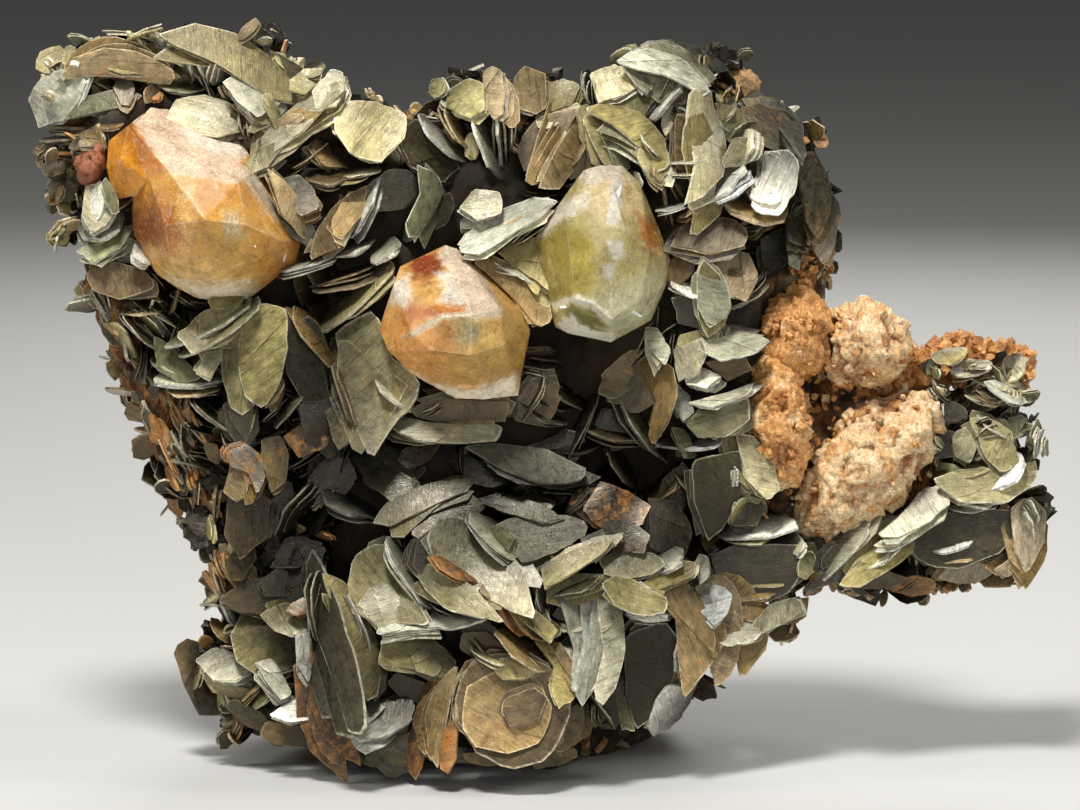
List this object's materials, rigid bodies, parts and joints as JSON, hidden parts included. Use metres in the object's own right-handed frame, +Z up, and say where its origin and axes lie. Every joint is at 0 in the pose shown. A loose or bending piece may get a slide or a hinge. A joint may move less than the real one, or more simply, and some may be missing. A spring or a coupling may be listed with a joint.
{
  "type": "fluorite on matrix",
  "caption": "Mineral specimen: clear amber to yellow-green fluorite crystals on a rock matrix thick with mica books and feldspar, standing on a face cut flat.",
  "frame": {"origin": "middle of the bounding box in X and Y, on the base plane that the specimen rests on", "axes": "+Z up; +X along the specimen's width, towards the feldspar arm; -Y the side with the crystals"},
  "size_m": [0.1528, 0.0568, 0.1122],
  "materials": {
    "rock": "rough iron-stained rock",
    "amber_crystal": "clear amber crystal, etched",
    "honey_crystal": "clear honey crystal, etched",
    "olive_crystal": "clear yellow-green crystal, etched",
    "feldspar": "sugary cream to orange feldspar",
    "red_crystal": "rough brick red",
    "brown_nodule": "matt brown",
    "mica": "pearly olive-grey mica cleavage"
  },
  "bodies": {
    "root": {"matrix_rock": "rock", "fluorite_upper_left": "amber_crystal", "fluorite_centre": "honey_crystal", "fluorite_upper_right": "olive_crystal", "feldspar_slab": "feldspar", "feldspar_chunk": "feldspar", "feldspar_knob": "feldspar", "feldspar_ridge": "feldspar", "red_crystal": "red_crystal", "brown_nodule": "brown_nodule", "mica_crest_left": "mica", "mica_left_edge": "mica", "mica_top_left": "mica", "mica_upper_inner": "mica", "mica_upper_middle": "mica", "mica_top_centre": "mica", "mica_top_right": "mica", "mica_right_edge": "mica", "mica_right_petals": "mica", "mica_right_shingles": "mica", "mica_left": "mica", "mica_left_low": "mica", "mica_centre_left": "mica", "mica_centre": "mica", "mica_lower_left": "mica", "mica_rosette_left": "mica", "mica_rosette_middle": "mica", "mica_rosette_right": "mica", "mica_right_low": "mica", "mica_arm_lower": "mica", "mica_arm_end": "mica"}
  },
  "joints": []
}
